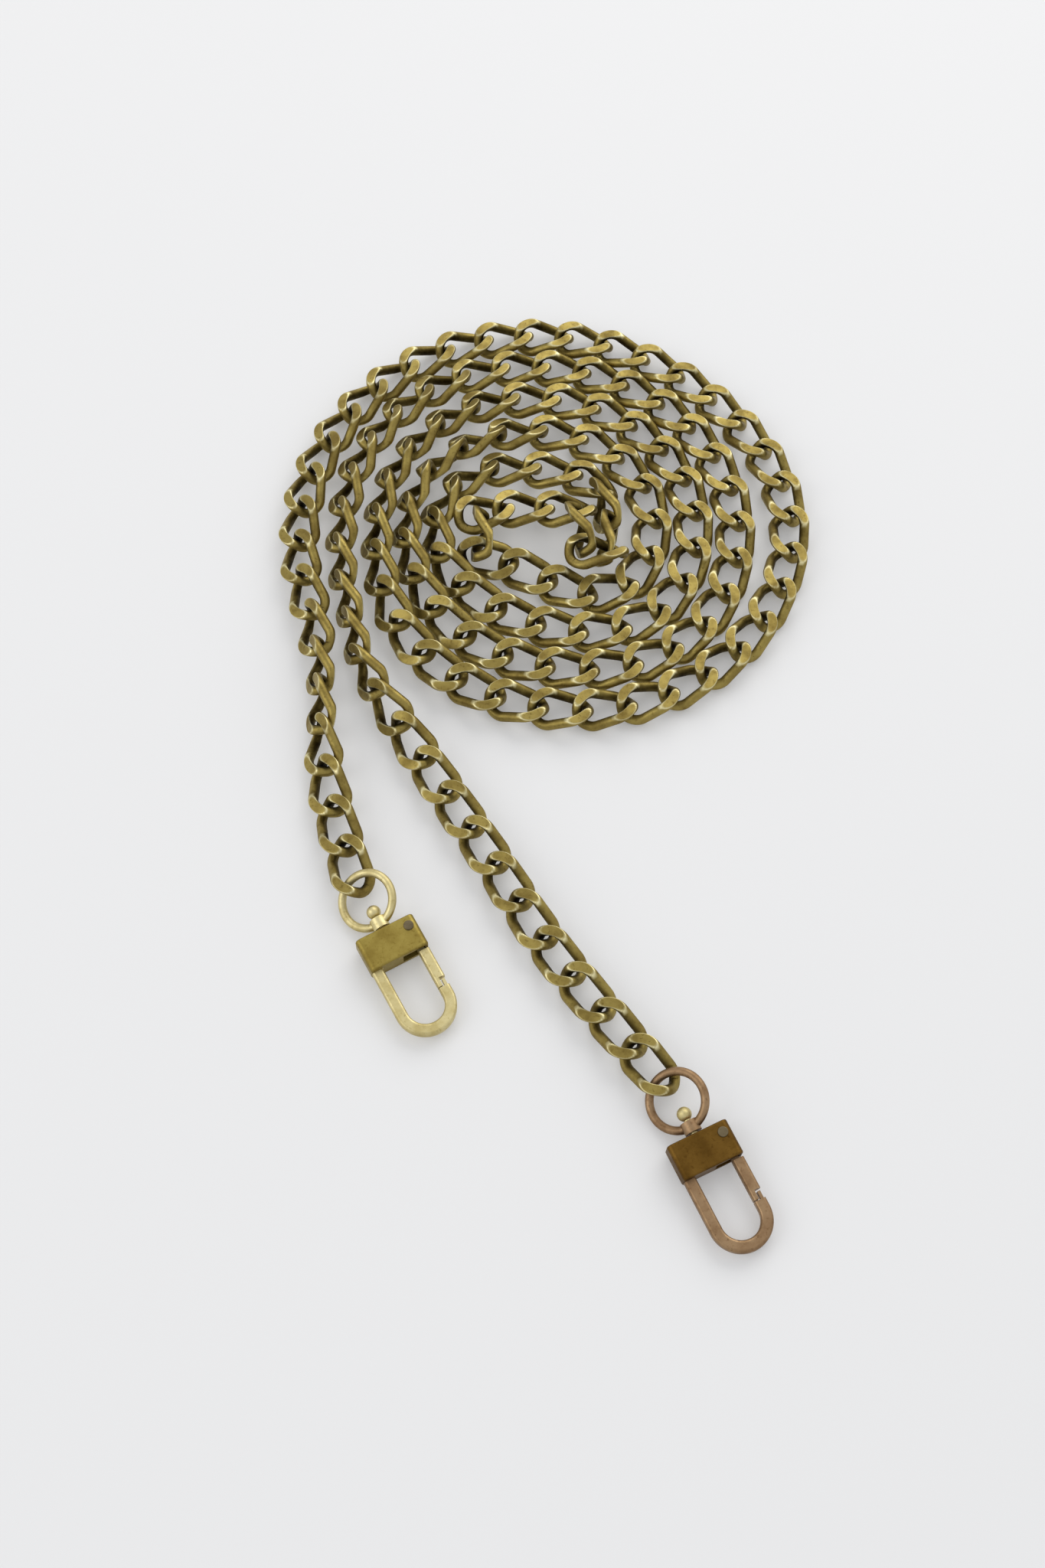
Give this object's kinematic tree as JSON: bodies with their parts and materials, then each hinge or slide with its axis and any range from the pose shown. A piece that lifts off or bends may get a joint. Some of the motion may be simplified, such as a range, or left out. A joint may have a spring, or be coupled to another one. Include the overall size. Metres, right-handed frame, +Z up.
{
  "type": "curb chain with swivel clasps",
  "caption": "Long flat curb chain in antique brass with a swivel snap clasp on each end, lying in a double coil.",
  "frame": {"origin": "middle of the footprint, on the surface the chain lies on", "axes": "+Z up, +X to the right and +Y away along the table, with the two free ends towards -Y"},
  "size_m": [0.0982, 0.183, 0.0097],
  "materials": {
    "chain_brass": "antique, rubbed bright on the edges",
    "left_fitting": "pale antique gold",
    "right_fitting": "dark antique brown"
  },
  "bodies": {
    "coil": {"coil_links_01": "chain_brass", "coil_links_02": "chain_brass", "coil_links_03": "chain_brass", "coil_links_04": "chain_brass", "coil_links_05": "chain_brass", "coil_links_06": "chain_brass", "coil_links_07": "chain_brass", "coil_links_08": "chain_brass", "coil_links_09": "chain_brass", "coil_links_10": "chain_brass", "coil_links_11": "chain_brass", "coil_links_12": "chain_brass", "coil_links_13": "chain_brass", "coil_links_14": "chain_brass", "coil_links_15": "chain_brass", "coil_links_16": "chain_brass", "coil_links_17": "chain_brass", "coil_links_18": "chain_brass", "coil_links_19": "chain_brass", "coil_links_20": "chain_brass", "coil_links_21": "chain_brass", "coil_links_22": "chain_brass", "coil_links_23": "chain_brass", "coil_links_24": "chain_brass"},
    "left_link_06": {"left_tail_link_06": "chain_brass"},
    "left_link_05": {"left_tail_link_05": "chain_brass"},
    "left_link_04": {"left_tail_link_04": "chain_brass"},
    "left_link_03": {"left_tail_link_03": "chain_brass"},
    "left_link_02": {"left_tail_link_02": "chain_brass"},
    "left_link_01": {"left_tail_link_01": "chain_brass"},
    "right_link_10": {"right_tail_link_10": "chain_brass"},
    "right_link_09": {"right_tail_link_09": "chain_brass"},
    "right_link_08": {"right_tail_link_08": "chain_brass"},
    "right_link_07": {"right_tail_link_07": "chain_brass"},
    "right_link_06": {"right_tail_link_06": "chain_brass"},
    "right_link_05": {"right_tail_link_05": "chain_brass"},
    "right_link_04": {"right_tail_link_04": "chain_brass"},
    "right_link_03": {"right_tail_link_03": "chain_brass"},
    "right_link_02": {"right_tail_link_02": "chain_brass"},
    "right_link_01": {"right_tail_link_01": "chain_brass"},
    "left_ring": {"left_end_ring": "left_fitting"},
    "left_clasp": {"left_swivel_stud": "left_fitting", "left_collar": "left_fitting", "left_hook_loop": "left_fitting", "left_gate_pin": "left_fitting", "left_gate_spring": "left_fitting"},
    "left_gate_arm": {"left_gate": "left_fitting"},
    "right_ring": {"right_end_ring": "right_fitting"},
    "right_clasp": {"right_swivel_stud": "right_fitting", "right_collar": "right_fitting", "right_hook_loop": "right_fitting", "right_gate_pin": "right_fitting", "right_gate_spring": "right_fitting"},
    "right_gate_arm": {"right_gate": "right_fitting"}
  },
  "joints": [
    {"name": "left_link_06_swing", "type": "hinge", "parent": "coil", "child": "left_link_06", "pos_m": [-0.04055, 0.01599, 0.00415], "axis": [0, 0, 1], "range_deg": [-8, 3]},
    {"name": "left_link_05_lift", "type": "hinge", "parent": "left_link_06", "child": "left_link_05", "pos_m": [-0.03963, 0.00815, 0.00422], "axis": [-0.9987, -0.0518, 0], "range_deg": [0, 10]},
    {"name": "left_link_04_swing", "type": "hinge", "parent": "left_link_05", "child": "left_link_04", "pos_m": [-0.03922, 0.00028, 0.00394], "axis": [0, 0, 1], "range_deg": [-8, 3]},
    {"name": "left_link_03_lift", "type": "hinge", "parent": "left_link_04", "child": "left_link_03", "pos_m": [-0.03838, -0.00753, 0.00315], "axis": [-0.9786, -0.2059, 0], "range_deg": [0, 10]},
    {"name": "left_link_02_swing", "type": "hinge", "parent": "left_link_03", "child": "left_link_02", "pos_m": [-0.03676, -0.01524, 0.00277], "axis": [0, 0, 1], "range_deg": [-8, 3]},
    {"name": "left_link_01_lift", "type": "hinge", "parent": "left_link_02", "child": "left_link_01", "pos_m": [-0.03443, -0.02278, 0.00268], "axis": [-0.9536, -0.3012, 0], "range_deg": [0, 10]},
    {"name": "right_link_10_swing", "type": "hinge", "parent": "coil", "child": "right_link_10", "pos_m": [-0.02562, 0.00072, 0.00355], "axis": [0, 0, 1], "range_deg": [-3, 8]},
    {"name": "right_link_09_lift", "type": "hinge", "parent": "right_link_10", "child": "right_link_09", "pos_m": [-0.02142, -0.00598, 0.00302], "axis": [-0.8442, -0.536, 0], "range_deg": [0, 10]},
    {"name": "right_link_08_swing", "type": "hinge", "parent": "right_link_09", "child": "right_link_08", "pos_m": [-0.01717, -0.01267, 0.00273], "axis": [0, 0, 1], "range_deg": [-3, 8]},
    {"name": "right_link_07_lift", "type": "hinge", "parent": "right_link_08", "child": "right_link_07", "pos_m": [-0.0129, -0.01935, 0.00267], "axis": [-0.8514, -0.5245, 0], "range_deg": [0, 10]},
    {"name": "right_link_06_swing", "type": "hinge", "parent": "right_link_07", "child": "right_link_06", "pos_m": [-0.00874, -0.0261, 0.00268], "axis": [0, 0, 1], "range_deg": [-3, 8]},
    {"name": "right_link_05_lift", "type": "hinge", "parent": "right_link_06", "child": "right_link_05", "pos_m": [-0.00473, -0.03294, 0.00268], "axis": [-0.8511, -0.5251, 0], "range_deg": [0, 10]},
    {"name": "right_link_04_swing", "type": "hinge", "parent": "right_link_05", "child": "right_link_04", "pos_m": [-0.00056, -0.03969, 0.00268], "axis": [0, 0, 1], "range_deg": [-3, 8]},
    {"name": "right_link_03_lift", "type": "hinge", "parent": "right_link_04", "child": "right_link_03", "pos_m": [0.00402, -0.04617, 0.00267], "axis": [-0.791, -0.6118, 0], "range_deg": [0, 10]},
    {"name": "right_link_02_swing", "type": "hinge", "parent": "right_link_03", "child": "right_link_02", "pos_m": [0.00887, -0.05244, 0.00272], "axis": [0, 0, 1], "range_deg": [-3, 8]},
    {"name": "right_link_01_lift", "type": "hinge", "parent": "right_link_02", "child": "right_link_01", "pos_m": [0.01381, -0.05864, 0.00281], "axis": [-0.7784, -0.6278, 0], "range_deg": [0, 10]},
    {"name": "left_ring_swing", "type": "hinge", "parent": "left_link_01", "child": "left_ring", "pos_m": [-0.03173, -0.03131, 0.00279], "axis": [0, 0, 1], "range_deg": [-8, 8]},
    {"name": "left_swivel", "type": "hinge", "parent": "left_ring", "child": "left_clasp", "pos_m": [-0.02763, -0.03717, 0.00267], "axis": [0.4841, -0.8734, -0.0523], "continuous": true},
    {"name": "left_gate_hinge", "type": "hinge", "parent": "left_clasp", "child": "left_gate_arm", "pos_m": [-0.02295, -0.03788, 0.00251], "axis": [-0.0254, 0.0458, -0.9986], "range_deg": [0, 22], "stiffness_Nm_per_rad": 0.01},
    {"name": "right_ring_swing", "type": "hinge", "parent": "right_link_01", "child": "right_ring", "pos_m": [0.01944, -0.06562, 0.00287], "axis": [0, 0, 1], "range_deg": [-8, 8]},
    {"name": "right_swivel", "type": "hinge", "parent": "right_ring", "child": "right_clasp", "pos_m": [0.02274, -0.07199, 0.00267], "axis": [0.4378, -0.8976, -0.0523], "continuous": true},
    {"name": "right_gate_hinge", "type": "hinge", "parent": "right_clasp", "child": "right_gate_arm", "pos_m": [0.02738, -0.07295, 0.00251], "axis": [-0.0229, 0.047, -0.9986], "range_deg": [0, 22], "stiffness_Nm_per_rad": 0.01}
  ]
}
